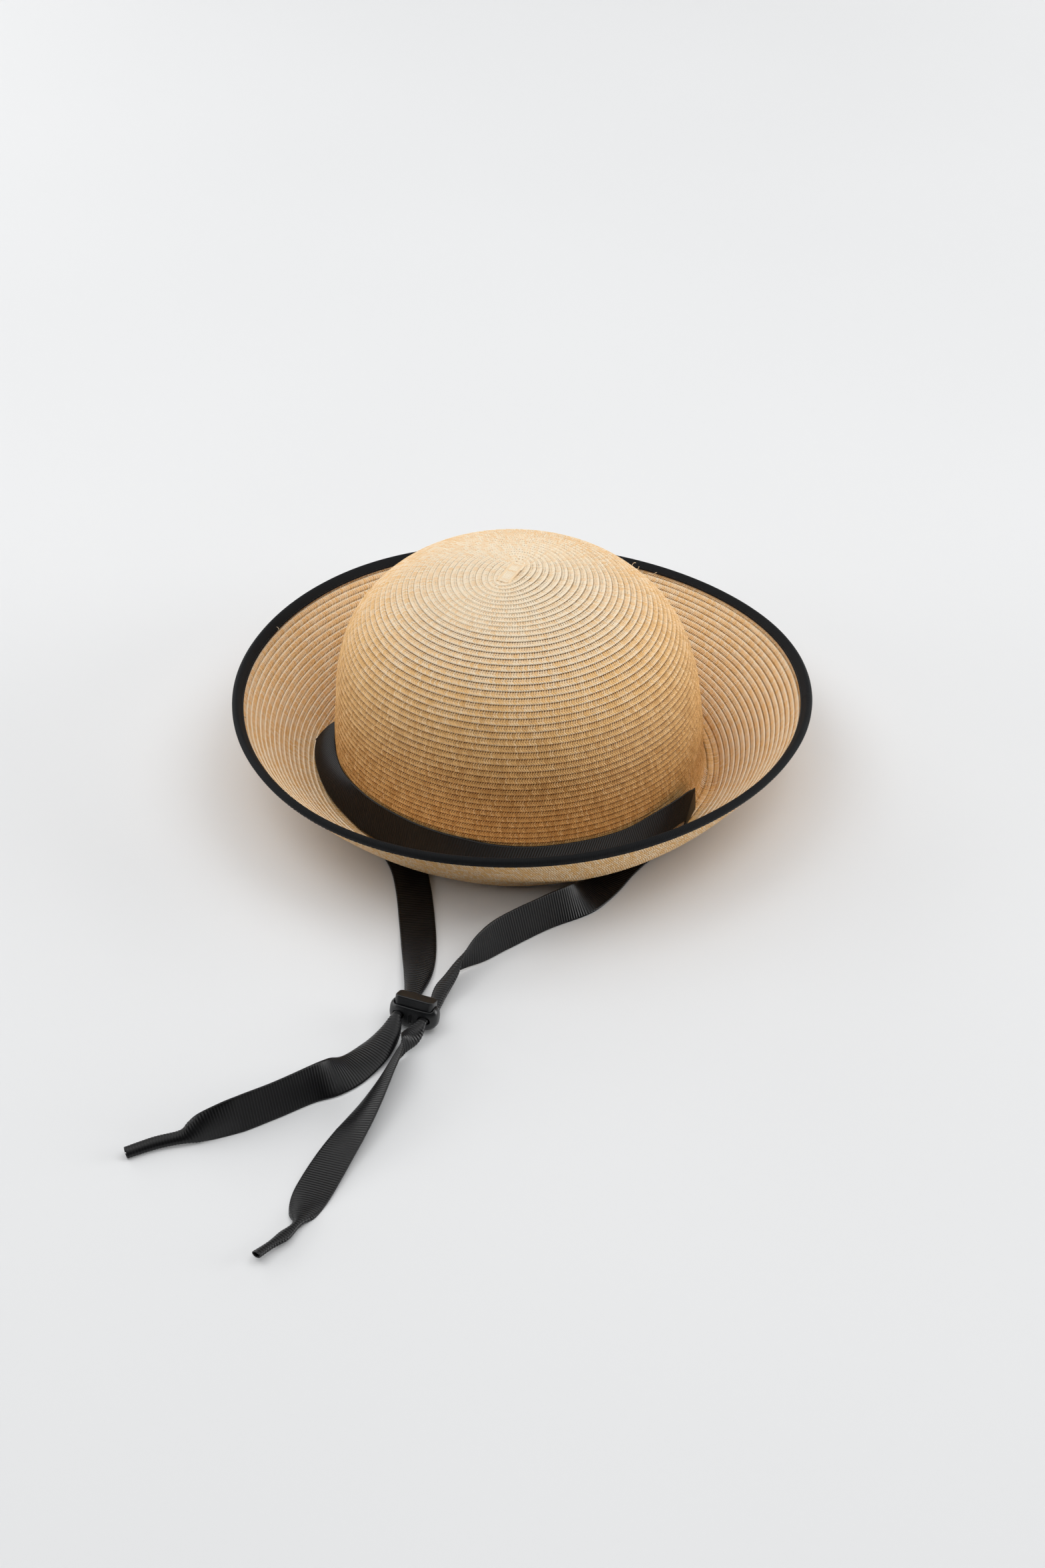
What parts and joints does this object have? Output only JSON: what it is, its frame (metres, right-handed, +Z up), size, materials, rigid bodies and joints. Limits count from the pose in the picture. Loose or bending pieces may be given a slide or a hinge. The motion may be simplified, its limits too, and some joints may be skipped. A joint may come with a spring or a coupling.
{
  "type": "straw hat",
  "caption": "Straw hat of spirally sewn braid: round crown, turned-up brim with a dark bound edge, ribbon band and chin strap gathered in a push-button cord lock.",
  "frame": {"origin": "middle of the hat's box on the surface it stands on, without the loose chin strap", "axes": "+Z up through the crown, -Y towards the chin strap and the side with the ribbon band, +X to the right seen from there"},
  "size_m": [0.3351, 0.5266, 0.1231],
  "materials": {
    "straw": "matte sewn straw braid",
    "binding_tape": "matte woven tape",
    "ribbon": "ribbed grosgrain, slight sheen",
    "lock_plastic": "satin moulded plastic"
  },
  "bodies": {
    "hat": {"crown": "straw", "brim": "straw", "brim_binding": "binding_tape", "hat_band": "ribbon", "strap_left": "ribbon", "strap_right": "ribbon", "lock_body": "lock_plastic"},
    "lock_button": {"lock_button": "lock_plastic"}
  },
  "joints": [
    {"name": "lock_button_press", "type": "slide", "parent": "hat", "child": "lock_button", "axis": [0.122, 0.3019, 0.9455], "range_m": [-0.002, 0], "stiffness_N_per_m": 300, "springref_m": 0.003}
  ]
}
